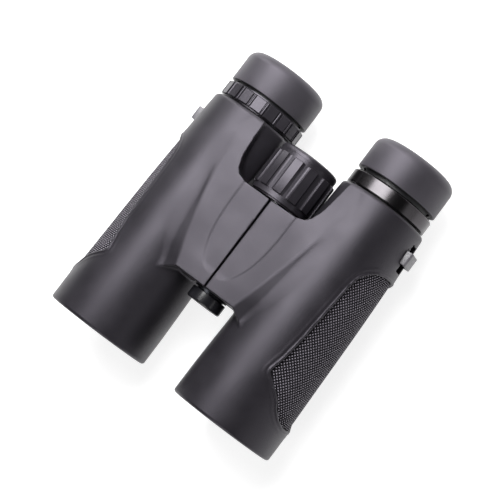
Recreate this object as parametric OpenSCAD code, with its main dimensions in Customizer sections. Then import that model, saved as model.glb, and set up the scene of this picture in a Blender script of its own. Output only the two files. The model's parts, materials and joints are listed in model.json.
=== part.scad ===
// Roof-prism binoculars with a closed bridge and one hinge, 42 mm objectives.
// They lie flat, opened to their widest eye spacing.
// X runs across the two barrels, +Y towards the eyepieces and +Z up.
// The origin is on the resting plane under the middle of the bounding box.

/* [Overall] */
// Length from the objective rims to the eyecup tops
length = 146; // [144:1:150]
// Distance between the two barrel axes, opened fully
eye_spacing = 74; // [73:0.5:76]
// Height of the hinge axis above the two barrel axes
hinge_rise = 10; // [9.5:0.25:10.5]
// Largest radius of the armour, at the objective end
bell_r = 25.9; // [25.9:0.05:26.2]

/* [Armour] */
// Width of the seam between the two bridge plates
seam_w = 0.7; // [0.4:0.1:1]
// Height of the crease edges above the barrel axes
crease_h = 24.5; // [23:0.25:26]
// Height of the bridge plates at the seam above the barrel axes
plate_h = 22.2; // [21.5:0.1:23]
// Thickness of each grip panel
panel_t = 1; // [0.8:0.1:1.2]
// Depth of a grip panel's surface below the armour around it
panel_drop = 1; // [0.8:0.1:1.1]

/* [Hinge] */
// Radius of the hinge knuckles
knuckle_r = 8.5; // [8:0.1:8.6]
// Outer radius of the hollow hinge axle
axle_r = 5.5; // [5.2:0.1:5.8]
// Radial running clearance of the hinge and of the wheel
run_gap = 0.06; // [0.03:0.01:0.09]

/* [Focus] */
// Radius over the pads of the focus wheel
wheel_r = 15.9; // [15.5:0.1:16.2]
// Number of pads round the focus wheel
wheel_pads = 12; // [8:1:14]
// Travel of the focusing lenses each way
focus_travel = 2.5; // [1.5:0.25:2.5]

/* [Eyepieces] */
// Outer radius of the eyecups
eyecup_r = 20.7; // [20.5:0.1:20.9]
// Radius over the pads of the dioptre ring
dioptre_r = 20.9; // [20.7:0.1:21.1]
// Number of pads round the dioptre ring
dioptre_pads = 18; // [12:1:24]
// Outer radius of the eyepiece tubes
eye_tube_r = 16.6; // [16.4:0.1:16.7]

/* [Objectives] */
// Radius of the objective lenses, half of their clear aperture
objective_r = 21; // [20:0.25:21]
// Bore radius that holds each objective cell
front_bore_r = 22.25; // [22.2:0.05:22.3]
// Bore radius in front of each objective, where a push-in cover sits
cover_bore_r = 22.6; // [22.5:0.05:22.7]

/* [Tripod socket] */
// Radius of the quarter-inch tripod thread
socket_r = 3.175; // [3.1:0.025:3.2]
// Radius of the screw cap
cap_r = 8.65; // [8.4:0.05:8.7]

/* [Hidden] */
$fn = 96;

// small separations
slack = 0.05;
clear = 0.3;

// frame
axis_h = bell_r;
hinge_h = axis_h + hinge_rise;
half_space = eye_spacing / 2;
front_y = -length / 2;
back_y = length / 2;
web_tilt = atan(hinge_rise / half_space);
left_side = -1;
right_side = 1;

// stations along a barrel
chassis_front_y = front_y + 1;
cover_bore_y = -67.6;
bell_end_y = -59.5;
layer_front_y = -62;
step_y = 18;
chassis_back_y = 46;
rim_y = 46.6;

// radii along a barrel
chassis_bell_r = 23.4;
chassis_mid_r = 21.2;
chassis_eye_r = 20.1;
chassis_end_r = 19.7;
bore_mid_r = 19.5;
bore_eye_r = 18.2;
armour_lip_r = 17.2;
armour_mid = [[25.4, -36.5], [24.4, 0], [23.3, 25]];

// screwed joint between the objective barrel and the chassis
barrel_end_y = -30;
spigot_end_y = -24;
spigot_r = 21.3;

// bridge
bridge_front_y = -28.8;
bridge_back_y = 19.3;
web_front_y = -25.5;
web_back_y = 17.5;
web_low_z = axis_h + 3.2;
web_high_z = axis_h + 19;
web_out_x = 30;
underplate_t = 2;
underplate_in_x = 6.6;
pocket_r = 17;
crease_front_x = 16.5;
crease_mid_x = 25.2;
crease_back_x = 30.5;
plate_slope = atan((crease_h + 0.4 - plate_h) / crease_mid_x);
shoulder_slope = 9.3;

// hinge knuckles, front to back
LEFT_KNUCKLES = [[-25.5, -22.5], [3, 10]];
RIGHT_KNUCKLES = [[-22.2, -19.2], [-4.2, 2.7], [10.3, 18.4]];
window_y = [-19.2, -4.2];
axle_front_y = -29;
axle_back_y = 40;
axle_bore_r = 4.3;
washer_r = 8;

// focusing
nut_r = 4.2;
nut_groove_r = 3.2;
nut_y = [-16.5, -8.5];
left_arm_y = [-15.5, -13.5];
right_arm_y = [-12, -10];
arm_h = 4;
arm_hub_r = 4.1;
screw_r = 2;
screw_head_r = 3.8;
cell_y = [-17, -9];
cell_r = bore_mid_r - clear;
focus_lens_r = 14.2;
fold_angle = 55.8;

// focus wheel stations
wheel_y = [20.5, 45];
wheel_band_y = [22.9, 40.8];
wheel_collar_r = 14.6;
wheel_core_r = 12.6;
cap_spigot_r = 8;

// eyepiece stations
ring_y = [47.4, 54.1];
dioptre_y = [47.3, 55];
eyecup_y = 56;
tube_y = [28, 67];
tube_bore_r = eye_tube_r - 1.6;
ocular_r = 12.5;
ocular_stop_r = 11.4;
guide_y = [57, 65.5];
guide_t = 0.8;
guide_r = eye_tube_r + clear;
core_in_r = guide_r + guide_t + clear;
core_out_r = core_in_r + 1.2;

// strap lugs
lug_y = [30.7, 37.3];
lug_half_h = 5.3;
lug_leg_t = 1.3;
lug_floor_x = half_space + 19.3;
lug_bar_x = [half_space + 23.6, half_space + 25.2];
slot_y = [25.5, 42];

// O-ring of the objective cell
seal_half = 0.54;
seal_mid_r = front_bore_r - seal_half;

// grip panel, seen from the side: half outline as [y, height above the barrel axis]
grip_outline = [
    [-57.6, 0], [-57.2, 5.6], [-55.4, 10.6], [-52.4, 14], [-48.9, 16.2],
    [-45.6, 18.7], [-41, 22], [-22, 20.6], [-4.4, 19.6], [10.9, 18.6],
    [14.5, 17.6], [17.6, 15.8], [20, 12.9], [21.3, 8], [21.8, 0]
];

// prisms and the screws of their cage
prism_half_w = 10;
cage_window = 2 * prism_half_w + 0.6;
cage_screw_at = 15.8;
cage_screw_r = 1;

// colours
rubber_dark = [0.27, 0.26, 0.28];
rubber_grip = [0.17, 0.17, 0.18];
alloy = [0.62, 0.63, 0.65];
black_metal = [0.09, 0.09, 0.1];
glass_tint = [0.5, 0.62, 0.7];
brass_tint = [0.75, 0.62, 0.35];

// Points of a round stretch, centre c, radius r, from angle a0 to a1
function arc(c, r, a0, a1, n = 6) =
    [for (i = [0:n]) c + r * [cos(a0 + (a1 - a0) * i / n), sin(a0 + (a1 - a0) * i / n)]];

// Outside of the armour as [radius, y]
function armour_profile() = concat(
    [[cover_bore_r, front_y]],
    arc([bell_r - 1.3, front_y + 1.3], 1.3, -90, 0),
    [[bell_r, bell_end_y]],
    armour_mid,
    [[22.6, 38]],
    arc([20.2, rim_y - 2], 2, 0, 90),
    [[armour_lip_r, rim_y], [armour_lip_r, chassis_back_y + slack]]
);

// Outside of the chassis and the objective barrel as [radius, y], grown by g
function chassis_profile(g = 0) = [
    [0, chassis_front_y - g], [chassis_bell_r + g, chassis_front_y - g],
    [chassis_bell_r + g, bell_end_y + 1.5], [chassis_mid_r + g, step_y + g],
    [chassis_eye_r + g, step_y + g], [chassis_end_r + g, chassis_back_y + g],
    [0, chassis_back_y + g]
];

// Inside of the chassis and the objective barrel as [radius, y]
bore_profile = [
    [0, chassis_front_y - 1], [cover_bore_r, chassis_front_y - 1], [cover_bore_r, cover_bore_y],
    [front_bore_r, cover_bore_y], [front_bore_r, -52],
    [bore_mid_r, -22], [bore_mid_r, step_y - 1], [bore_eye_r, step_y - 1],
    [bore_eye_r, chassis_back_y - 2], [eye_tube_r + slack, chassis_back_y - 2],
    [eye_tube_r + slack, chassis_back_y + 1], [0, chassis_back_y + 1]
];

// Places its children on a barrel, with their z along the barrel
module on_barrel(side) {
    translate([side * half_space, 0, axis_h]) rotate([-90, 0, 0]) children();
}

// Places its children on the hinge, with their z along the hinge
module on_hinge() {
    translate([0, 0, hinge_h]) rotate([-90, 0, 0]) children();
}

// Builds the right-hand form as it is and mirrors it for the left
module sided(side) {
    mirror([side < 0 ? 1 : 0, 0, 0]) children();
}

// Solid of revolution from a profile of [radius, y]
module turned(profile) {
    rotate_extrude() polygon(profile);
}

// Straight solid cylinder from y[0] to y[1]
module rod(r, y) {
    translate([0, 0, y[0]]) cylinder(r = r, h = y[1] - y[0]);
}

// Straight ring from y[0] to y[1]
module ring(r_out, r_in, y) {
    difference() {
        rod(r_out, y);
        rod(r_in, [y[0] - 1, y[1] + 1]);
    }
}

// Block between two corners
module block(low, high) {
    translate(low) cube(high - low);
}

// Points of a lens face of rim radius r at y, bulging by b, from the axis to the rim
function lens_face(r, y, b, n = 6) = [for (i = [0:n]) [r * i / n, y + b * (1 - (i / n) * (i / n))]];

// Points of the same face from the rim to the axis
function lens_face_back(r, y, b, n = 6) = [for (i = [0:n]) lens_face(r, y, b, n)[n - i]];

// Lens with rim radius r from y[0] to y[1], faces bulging outwards by b[0] and b[1]
module lens(r, y, b) {
    turned(concat(lens_face(r, y[0], -b[0]), lens_face_back(r, y[1], b[1])));
}

// Half of the bridge's upper wedge, cut off by two sloping planes
module bridge_wedge() {
    difference() {
        translate([0, 0, axis_h + 10]) linear_extrude(20) polygon([
            [seam_w / 2, bridge_front_y], [seam_w / 2, bridge_back_y], [16.2, bridge_back_y],
            [21, 25], [23.2, 33], [24.5, 45.4], [crease_back_x, 45.4], [crease_back_x, 21.8],
            [crease_mid_x, 0.3], [crease_front_x, bridge_front_y]
        ]);
        translate([0, 0, axis_h + plate_h - 0.4]) rotate([0, -plate_slope, 0])
            block([-10, -90, 0], [60, 90, 30]);
        translate([0, 0.3, axis_h + crease_h + 0.4]) rotate([-shoulder_slope, 0, 0])
            block([-10, -90, 0], [60, 90, 30]);
    }
}

// Side silhouette of a grip panel carried through the outer half of the barrel
module grip_prism() {
    mirrored = [for (i = [len(grip_outline) - 2:-1:1]) [grip_outline[i][0], -grip_outline[i][1]]];
    translate([half_space, 0, axis_h]) rotate([90, 0, 90])
        linear_extrude(40) polygon(concat(grip_outline, mirrored));
}

// Cone shell that follows the armour, from depth d0 to depth d1 below it
module armour_layer(d0, d1) {
    on_barrel(right_side) turned(concat(
        [[bell_r - d1, layer_front_y], [bell_r - d0, layer_front_y], [bell_r - d0, bell_end_y]],
        [for (p = armour_mid) [p[0] - d0, p[1]]],
        [for (i = [len(armour_mid) - 1:-1:0]) [armour_mid[i][0] - d1, armour_mid[i][1]]],
        [[bell_r - d1, bell_end_y]]
    ));
}

// Room that the wheel needs in the armour and the chassis
module wheel_room() {
    on_hinge() rod(pocket_r, [bridge_back_y, 80]);
}

// Strap slot cut into the barrel's outer side
module strap_slot() {
    block([lug_floor_x, slot_y[0], axis_h - lug_half_h + lug_leg_t],
          [80, slot_y[1], axis_h + lug_half_h - lug_leg_t]);
}

// Web that joins the barrel to the hinge knuckles, grown by g
module bridge_web(g) {
    translate([0, 0, web_low_z - g]) linear_extrude(web_high_z - web_low_z + 2 * g) polygon([
        [4, web_front_y - g], [14.5 + g, web_front_y - g], [23 + g, 0],
        [web_out_x - 2 + g, web_back_y + g], [4, web_back_y + g]
    ]);
}

// Path of a focusing arm from the hinge to the barrel, y from span[0] to span[1]
module arm_path(span, h, from_r, to_r) {
    translate([0, 0, hinge_h]) rotate([0, web_tilt, 0])
        block([from_r, span[0], -h / 2], [to_r, span[1], h / 2]);
}

module chassis(side) {
    own = side < 0 ? LEFT_KNUCKLES : RIGHT_KNUCKLES;
    other = side < 0 ? RIGHT_KNUCKLES : LEFT_KNUCKLES;
    arm = side < 0 ? left_arm_y : right_arm_y;
    axle_fit = side < 0 ? slack : run_gap;
    sided(side) color(alloy) difference() {
        union() {
            on_barrel(right_side) turned(chassis_profile());
            bridge_web(0);
            on_hinge() for (k = own) rod(knuckle_r, k);
        }
        on_barrel(right_side) {
            turned(bore_profile);
            rod(40, [front_y, barrel_end_y + slack]);
            rod(spigot_r + slack, [front_y, spigot_end_y + slack]);
        }
        on_hinge() rod(axle_r + axle_fit, [-40, 40]);
        on_hinge() for (k = other) rod(knuckle_r + 0.4, [k[0] - clear, k[1] + clear]);
        on_hinge() rod(knuckle_r + 0.4, [window_y[0], window_y[1]]);
        arm_path([arm[0] - focus_travel - 0.5, arm[1] + focus_travel + 0.5], arm_h + 1.4, 4, 30);
        wheel_room();
        strap_slot();
    }
}

// Front tube that screws onto the chassis by its spigot and holds the objective
module objective_barrel(side) {
    on_barrel(side) color(alloy) difference() {
        turned(chassis_profile());
        turned(bore_profile);
        ring(40, spigot_r, [barrel_end_y, spigot_end_y]);
        rod(40, [spigot_end_y, back_y]);
    }
}

module armour(side) {
    sided(side) color(rubber_dark) difference() {
        union() {
            on_barrel(right_side) turned(armour_profile());
            bridge_wedge();
            block([underplate_in_x, bridge_front_y, web_low_z - underplate_t],
                  [web_out_x, bridge_back_y, axis_h + 14]);
        }
        on_barrel(right_side) turned(chassis_profile(slack));
        on_barrel(right_side) rod(cover_bore_r, [front_y - 1, chassis_front_y]);
        on_barrel(right_side) rod(armour_lip_r, [chassis_back_y - 1, 60]);
        bridge_web(slack);
        block([-1, web_front_y - slack, web_low_z - slack], [6, web_back_y + slack, web_high_z + slack]);
        on_hinge() rod(knuckle_r + 0.65, [-60, 60]);
        wheel_room();
        difference() {
            armour_layer(-2, panel_drop + panel_t);
            difference() {
                block([0, -90, 0], [90, 90, 80]);
                grip_prism();
            }
        }
        strap_slot();
        block([lug_floor_x - 1, lug_y[0] - slack, axis_h - lug_half_h - slack],
              [80, lug_y[1] + slack, axis_h + lug_half_h + slack]);
    }
}

module grip_panel(side) {
    sided(side) color(rubber_grip) intersection() {
        armour_layer(panel_drop, panel_drop + panel_t - slack);
        grip_prism();
    }
}

module strap_lug(side) {
    sided(side) color(black_metal) difference() {
        block([lug_floor_x, lug_y[0], axis_h - lug_half_h],
              [lug_bar_x[1], lug_y[1], axis_h + lug_half_h]);
        block([lug_floor_x - 1, lug_y[0] - 1, axis_h - lug_half_h + lug_leg_t],
              [lug_bar_x[0], lug_y[1] + 1, axis_h + lug_half_h - lug_leg_t]);
        on_barrel(right_side) rod(chassis_eye_r + slack, [0, 80]);
    }
}

module objective_cell(side) {
    on_barrel(side) color(black_metal) difference() {
        ring(front_bore_r - slack, objective_r + slack, [-66, -53]);
        ring(front_bore_r + 1, seal_mid_r - seal_half, [-58.4, -56.6]);
    }
    on_barrel(side) color(black_metal) ring(objective_r, objective_r - 1.5, [-54.5, -53]);
}

module objective_lens(side) {
    on_barrel(side) color(glass_tint) {
        lens(objective_r, [-62.5, -60.4], [1.8, 2]);
        lens(objective_r, [-60.35, -54.7], [-2, 0.3]);
    }
}

module objective_ring(side) {
    on_barrel(side) color(black_metal) ring(front_bore_r - slack, objective_r - 1, [-67.5, -66.1]);
}

module objective_seal(side) {
    on_barrel(side) color(rubber_grip) translate([0, 0, -57.5]) rotate_extrude()
        translate([seal_mid_r, 0]) circle(r = seal_half - slack);
}

module prism_cage(side) {
    on_barrel(side) color(black_metal) difference() {
        rod(bore_eye_r - clear, [-2, 29.6]);
        translate([-cage_window / 2, -cage_window / 2, -3]) cube([cage_window, cage_window, 40]);
        for (a = [0, 120, 240])
            rotate([0, 0, a]) translate([0, -cage_screw_at, 0]) rod(cage_screw_r + slack, [-10, 4]);
    }
}

module prisms(side) {
    on_barrel(side) color(glass_tint) rotate([0, -90, 0]) linear_extrude(2 * prism_half_w, center = true) {
        polygon([[-1, -prism_half_w], [-1, prism_half_w], [7, prism_half_w], [27, -prism_half_w]]);
        polygon([[28.2, -prism_half_w], [8.4, 9.8], [8.4, prism_half_w], [28.2, prism_half_w]]);
    }
}

module prism_screws(side) {
    on_barrel(side) color(alloy) for (a = [0, 120, 240])
        rotate([0, 0, a]) translate([0, -cage_screw_at, 0]) {
            rod(cage_screw_r, [-2, 3.5]);
            rod(1.9, [-3.6, -2.05]);
        }
}

// Tube that carries the eyepiece lenses; the left one has a slot for the dioptre key
module eyepiece_tube(side) {
    on_barrel(side) color(black_metal) difference() {
        ring(eye_tube_r, tube_bore_r, [tube_y[0] + 2, tube_y[1]]);
        if (side < 0)
            translate([0, 0, 50.1]) linear_extrude(2) polygon([
                [0, 0], [30, -30 * tan(15)], [30, -60], [-30, -60], [-30, -30 * tan(15)]
            ]);
    }
}

module eye_lens(side) {
    on_barrel(side) color(glass_tint) lens(ocular_r, [60, 63.4], [1.6, 1.6]);
}

module eye_retainer(side) {
    on_barrel(side) color(black_metal) difference() {
        rod(tube_bore_r - slack, [57.5, 66.6]);
        rod(ocular_stop_r, [50, 60]);
        rod(ocular_r + slack, [58.3, 65.4]);
        translate([0, 0, 65]) cylinder(r1 = 11.9, r2 = 13.4, h = 2);
    }
}

module eyecup_guide(side) {
    on_barrel(side) color(black_metal) ring(guide_r + guide_t, guide_r, guide_y);
}

module eyecup_core(side) {
    on_barrel(side) color(black_metal) {
        difference() {
            ring(core_out_r, core_in_r, [eyecup_y + 0.2, 68.8]);
            ring(core_in_r + 0.6, core_in_r - 1, [66, 66.9]);
        }
        ring(core_in_r, 14.2, [67.4, 68.8]);
    }
}

module eyecup_rubber(side) {
    on_barrel(side) color(rubber_dark) turned(concat(
        [[core_out_r + slack, eyecup_y], [eyecup_r - 0.4, eyecup_y], [eyecup_r, eyecup_y + 0.4]],
        arc([eyecup_r - 4.6, back_y - 4.6], 4.6, 0, 90, 9),
        [[15.4, back_y], [13.2, back_y - 1.6], [12.9, 68.85], [core_out_r + slack, 68.85]]
    ));
}

// Ring and arm that carry a focusing lens; the arm's hub lies in a groove of the nut
module focus_cell(side) {
    arm = side < 0 ? left_arm_y : right_arm_y;
    sided(side) color(black_metal) {
        on_barrel(right_side) ring(cell_r, focus_lens_r, cell_y);
        difference() {
            union() {
                arm_path(arm, arm_h, 0, half_space - cell_r + 3.2);
                on_hinge() rod(arm_hub_r, arm);
            }
            on_hinge() rod(nut_groove_r + 0.1, [-30, 0]);
            on_barrel(right_side) rod(15, [-30, 0]);
        }
    }
}

module focus_lens(side) {
    on_barrel(side) color(glass_tint) lens(focus_lens_r - slack, [-14.5, -11.5], [1.2, -1]);
}

module focus_nut() {
    on_hinge() color(brass_tint) difference() {
        rod(nut_r, nut_y);
        rod(screw_r + 0.1, [-30, 0]);
        for (arm = [left_arm_y, right_arm_y])
            ring(nut_r + 1, nut_groove_r, [arm[0] - 0.1, arm[1] + 0.1]);
    }
}

module focus_screw() {
    on_hinge() color(alloy) {
        rod(screw_r, [-21.5, 41]);
        rod(screw_head_r, [40.4, 42.2]);
    }
}

module focus_wheel_core() {
    on_hinge() color(black_metal) difference() {
        union() {
            rod(wheel_core_r, [wheel_y[0], 43]);
            rod(wheel_collar_r, [wheel_y[0], wheel_band_y[0] - slack]);
            rod(wheel_collar_r - 1.6, [19.8, wheel_y[0]]);
        }
        rod(axle_r + run_gap, [10, 40.3]);
        rod(screw_head_r + slack, [40, 42.25]);
        rod(cap_spigot_r, [42.2, 50]);
    }
}

// Ribbed rubber tyre with flat pads and hollows between them
module focus_wheel_tyre() {
    pitch = 360 / wheel_pads;
    on_hinge() color(rubber_dark) difference() {
        union() {
            rod(wheel_r, wheel_band_y);
            rod(wheel_collar_r, [wheel_band_y[0], 42.4]);
        }
        rod(wheel_core_r + slack, [0, 60]);
        for (i = [0:wheel_pads - 1])
            rotate([0, 0, (i + 0.5) * pitch]) translate([wheel_r + 0.9, 0, 0])
                rod(3, [0, wheel_band_y[1] + 0.01]);
    }
}

module focus_wheel_cap() {
    on_hinge() color(black_metal) {
        rod(cap_spigot_r - slack, [42.3, 43.1]);
        turned(concat(
            [[0, 43.05], [wheel_collar_r - 0.4, 43.05]],
            arc([wheel_collar_r - 1.8, 43.6], 1.4, 0, 90),
            [[0, wheel_y[1]]]
        ));
    }
}

// Hollow axle with windows for the two focusing arms
module hinge_axle() {
    reach = 30;
    low = web_tilt - 33;
    high = web_tilt + fold_angle + 33;
    on_hinge() color(alloy) difference() {
        ring(axle_r, axle_bore_r, [axle_front_y, axle_back_y]);
        translate([0, 0, right_arm_y[0] - focus_travel - 0.5])
            linear_extrude(2 * focus_travel + 3) polygon(concat(
                [[0, 0]],
                [for (i = [0:4]) reach * [cos(low + (high - low) * i / 4), sin(low + (high - low) * i / 4)]]
            ));
        translate([0, 0, left_arm_y[0] - focus_travel - 0.5]) rotate([0, 0, 180 - web_tilt])
            translate([0, -arm_h / 2 - 0.6, 0]) cube([reach, arm_h + 1.2, 2 * focus_travel + 3]);
    }
}

module hinge_washer() {
    on_hinge() color(alloy) ring(washer_r, axle_r + slack, [web_front_y - 0.45, web_front_y - 0.05]);
}

// Front plug of the axle, with a collar over the axle's end and the tripod socket in it
module tripod_bush() {
    on_hinge() color(alloy) difference() {
        union() {
            rod(6.9, [-34, -29.5]);
            rod(knuckle_r - 0.1, [-29.6, -26]);
            rod(axle_bore_r - slack, [-29.6, -24]);
        }
        ring(axle_r + slack, axle_bore_r - slack, [axle_front_y - slack, -20]);
        rod(socket_r, [-40, -26.5]);
    }
}

module tripod_cap() {
    on_hinge() color(black_metal) difference() {
        turned(concat(
            [[0, -35.8]],
            arc([cap_r - 0.9, -34.9], 0.9, -90, 0),
            [[cap_r, -30.2], [0, -30.2]]
        ));
        rod(7.2, [-34.3, -20]);
    }
}

module dioptre_ring() {
    pitch = 360 / dioptre_pads;
    on_barrel(left_side) color(rubber_dark) difference() {
        ring(dioptre_r, eye_tube_r + clear, dioptre_y);
        for (i = [0:dioptre_pads - 1])
            rotate([0, 0, (i + 0.5) * pitch]) for (s = [-1, 1])
                rotate([0, 0, s * 2.8]) translate([dioptre_r, 0, 0]) rod(0.45, [dioptre_y[0] + 0.9, 60]);
        rotate([0, 0, -90]) translate([eye_tube_r - 1, 0, 51]) rotate([0, 90, 0])
            cylinder(r = 0.75, h = 3.5);
    }
}

// Pin that carries the dioptre ring's turn to the lens cell inside
module dioptre_key() {
    on_barrel(left_side) color(alloy) rotate([0, 0, -90])
        translate([15, 0, 51]) rotate([0, 90, 0]) cylinder(r = 0.7, h = 4);
}

module field_cell(side) {
    on_barrel(side) color(black_metal) difference() {
        rod(tube_bore_r - (side < 0 ? clear : slack), [46.5, 54.5]);
        rod(ocular_r + slack, [47.7, 54.6]);
        rod(ocular_stop_r, [40, 60]);
        if (side < 0) ring(20, 14.2, [48.7, 53.3]);
    }
}

module field_lens(side) {
    on_barrel(side) color(glass_tint) lens(ocular_r, [49.2, 52.4], [1.4, 0.6]);
}

module right_trim_ring() {
    on_barrel(right_side) color(black_metal) turned([
        [eye_tube_r + slack, ring_y[0]], [20.5, ring_y[0]], [20.75, ring_y[0] + 0.3],
        [20.75, ring_y[1] - 0.9], [20, ring_y[1]], [eye_tube_r + slack, ring_y[1]]
    ]);
}

chassis(left_side);  // left_chassis
chassis(right_side);  // right_chassis
objective_barrel(left_side);  // left_objective_barrel
objective_barrel(right_side);  // right_objective_barrel
armour(left_side);  // left_armour
armour(right_side);  // right_armour
grip_panel(left_side);  // left_grip_panel
grip_panel(right_side);  // right_grip_panel
strap_lug(left_side);  // left_strap_lug
strap_lug(right_side);  // right_strap_lug
objective_cell(left_side);  // left_objective_cell
objective_cell(right_side);  // right_objective_cell
objective_lens(left_side);  // left_objective_lens
objective_lens(right_side);  // right_objective_lens
objective_ring(left_side);  // left_objective_ring
objective_ring(right_side);  // right_objective_ring
objective_seal(left_side);  // left_objective_seal
objective_seal(right_side);  // right_objective_seal
prism_cage(left_side);  // left_prism_cage
prism_cage(right_side);  // right_prism_cage
prisms(left_side);  // left_prisms
prisms(right_side);  // right_prisms
prism_screws(left_side);  // left_prism_screws
prism_screws(right_side);  // right_prism_screws
eyepiece_tube(left_side);  // left_eyepiece_tube
eyepiece_tube(right_side);  // right_eyepiece_tube
eye_lens(left_side);  // left_eye_lens
eye_lens(right_side);  // right_eye_lens
eye_retainer(left_side);  // left_eye_retainer
eye_retainer(right_side);  // right_eye_retainer
eyecup_guide(left_side);  // left_eyecup_guide
eyecup_guide(right_side);  // right_eyecup_guide
eyecup_core(left_side);  // left_eyecup_core
eyecup_core(right_side);  // right_eyecup_core
eyecup_rubber(left_side);  // left_eyecup_rubber
eyecup_rubber(right_side);  // right_eyecup_rubber
focus_cell(left_side);  // left_focus_cell
focus_cell(right_side);  // right_focus_cell
focus_lens(left_side);  // left_focus_lens
focus_lens(right_side);  // right_focus_lens
focus_nut();
focus_screw();
focus_wheel_core();
focus_wheel_tyre();
focus_wheel_cap();
hinge_axle();
hinge_washer();
tripod_bush();
tripod_cap();
dioptre_ring();
dioptre_key();
field_cell(left_side);  // left_field_cell
field_cell(right_side);  // right_field_cell
field_lens(left_side);  // left_field_lens
field_lens(right_side);  // right_field_lens
right_trim_ring();
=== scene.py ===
"""Binoculars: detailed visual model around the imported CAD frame.

Shapes are worked out in millimetres in the row's frame, with X across the two barrels, +Y towards
the eyepieces and +Z up, and are turned into metres when a mesh is made.
"""
import json
import math

import bmesh
import bpy
import numpy as np
from mathutils import Matrix, Vector


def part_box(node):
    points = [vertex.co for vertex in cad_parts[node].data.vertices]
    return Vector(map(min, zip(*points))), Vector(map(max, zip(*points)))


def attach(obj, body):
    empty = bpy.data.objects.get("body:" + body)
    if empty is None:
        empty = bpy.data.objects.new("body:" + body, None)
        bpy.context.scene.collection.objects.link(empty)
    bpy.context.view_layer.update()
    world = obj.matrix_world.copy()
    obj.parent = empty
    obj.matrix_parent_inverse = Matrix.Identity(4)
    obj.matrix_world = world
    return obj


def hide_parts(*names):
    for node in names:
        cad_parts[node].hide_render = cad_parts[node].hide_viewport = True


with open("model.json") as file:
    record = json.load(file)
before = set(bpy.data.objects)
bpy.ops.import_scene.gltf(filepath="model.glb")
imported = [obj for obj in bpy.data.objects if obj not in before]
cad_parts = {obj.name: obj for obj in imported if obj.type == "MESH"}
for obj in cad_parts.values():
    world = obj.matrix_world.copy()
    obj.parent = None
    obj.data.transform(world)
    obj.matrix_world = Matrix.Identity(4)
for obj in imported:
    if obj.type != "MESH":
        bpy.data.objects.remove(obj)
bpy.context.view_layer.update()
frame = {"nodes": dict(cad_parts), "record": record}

MM = 0.001
SIDES = {"left": -1, "right": 1}

# ---------------------------------------------------------------- sizes from the frame, in mm


def box_mm(node):
    low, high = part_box(node)
    return np.array(low) / MM, np.array(high) / MM


ARM_LOW, ARM_HIGH = box_mm("right_armour")
CUP_LOW, CUP_HIGH = box_mm("right_eyecup_rubber")
WHEEL_LOW, WHEEL_HIGH = box_mm("focus_wheel_tyre")
WHEEL_CORE_LOW, WHEEL_CORE_HIGH = box_mm("focus_wheel_core")
CAP_LOW, CAP_HIGH = box_mm("tripod_cap")
LUG_LOW, LUG_HIGH = box_mm("right_strap_lug")
RING_LOW, RING_HIGH = box_mm("dioptre_ring")
TRIM_LOW, TRIM_HIGH = box_mm("right_trim_ring")

BARREL_X = (CUP_LOW[0] + CUP_HIGH[0]) / 2
BARREL_Z = (CUP_LOW[2] + CUP_HIGH[2]) / 2
HINGE_Z = (WHEEL_LOW[2] + WHEEL_HIGH[2]) / 2
FRONT_Y = ARM_LOW[1]
RIM_Y = ARM_HIGH[1]
BELL_R = BARREL_Z - ARM_LOW[2]
CUP_R = (CUP_HIGH[0] - CUP_LOW[0]) / 2
WHEEL_R = (WHEEL_HIGH[2] - WHEEL_LOW[2]) / 2

# ---------------------------------------------------------------- signed distances


def round_max(a, b, r):
    """Intersection of two distances with the outer edge rounded to radius r."""
    return np.minimum(np.maximum(a, b), -r) + np.hypot(np.maximum(a + r, 0), np.maximum(b + r, 0))


def round_min(a, b, r):
    """Union of two distances with a fillet of radius r."""
    return -round_max(-a, -b, r)


def smooth_step(t):
    """Eased step from 0 at t = 0 to 1 at t = 1."""
    t = np.clip(t, 0, 1)
    return t * t * (3 - 2 * t)


def soft_interp(v, stations, values):
    """Smooth curve through stations, by cubic Hermite pieces."""
    stations = np.asarray(stations, float)
    values = np.asarray(values, float)
    slopes = np.gradient(values, stations)
    i = np.clip(np.searchsorted(stations, v) - 1, 0, len(stations) - 2)
    h = stations[i + 1] - stations[i]
    t = np.clip((v - stations[i]) / h, 0, 1)
    a, b = values[i], values[i + 1]
    return (
        (2 * t**3 - 3 * t**2 + 1) * a
        + (t**3 - 2 * t**2 + t) * h * slopes[i]
        + (3 * t**2 - 2 * t**3) * b
        + (t**3 - t**2) * h * slopes[i + 1]
    )


def polygon_distance(px, py, corners):
    """Signed distance to a closed polygon, negative inside."""
    best = np.full(np.shape(px), 1e9)
    inside = np.zeros(np.shape(px), bool)
    n = len(corners)
    for i in range(n):
        ax, ay = corners[i]
        bx, by = corners[(i + 1) % n]
        ex, ey = bx - ax, by - ay
        t = np.clip(((px - ax) * ex + (py - ay) * ey) / (ex * ex + ey * ey), 0, 1)
        best = np.minimum(best, np.hypot(px - ax - t * ex, py - ay - t * ey))
        crosses = (ay > py) != (by > py)
        with np.errstate(divide="ignore", invalid="ignore"):
            at_x = ax + (py - ay) * ex / np.where(ey == 0, 1e-9, ey)
        inside ^= crosses & (px < at_x)
    return np.where(inside, -best, best)


def rounded_loop(corners, radii, steps=5):
    """Polygon with its corners replaced by arcs, one radius for each corner."""
    out = []
    n = len(corners)
    for i in range(n):
        p = np.array(corners[i], float)
        a = np.array(corners[i - 1], float) - p
        b = np.array(corners[(i + 1) % n], float) - p
        la, lb = np.linalg.norm(a), np.linalg.norm(b)
        a, b = a / la, b / lb
        half = math.acos(np.clip(a @ b, -1, 1)) / 2
        reach = min(radii[i] / math.tan(half), la * 0.48, lb * 0.48)
        for k in range(steps + 1):
            t = k / steps
            out.append(tuple(p + a * reach * (1 - t) ** 2 + b * reach * t**2))
    return out


# ---------------------------------------------------------------- surface nets


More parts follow.
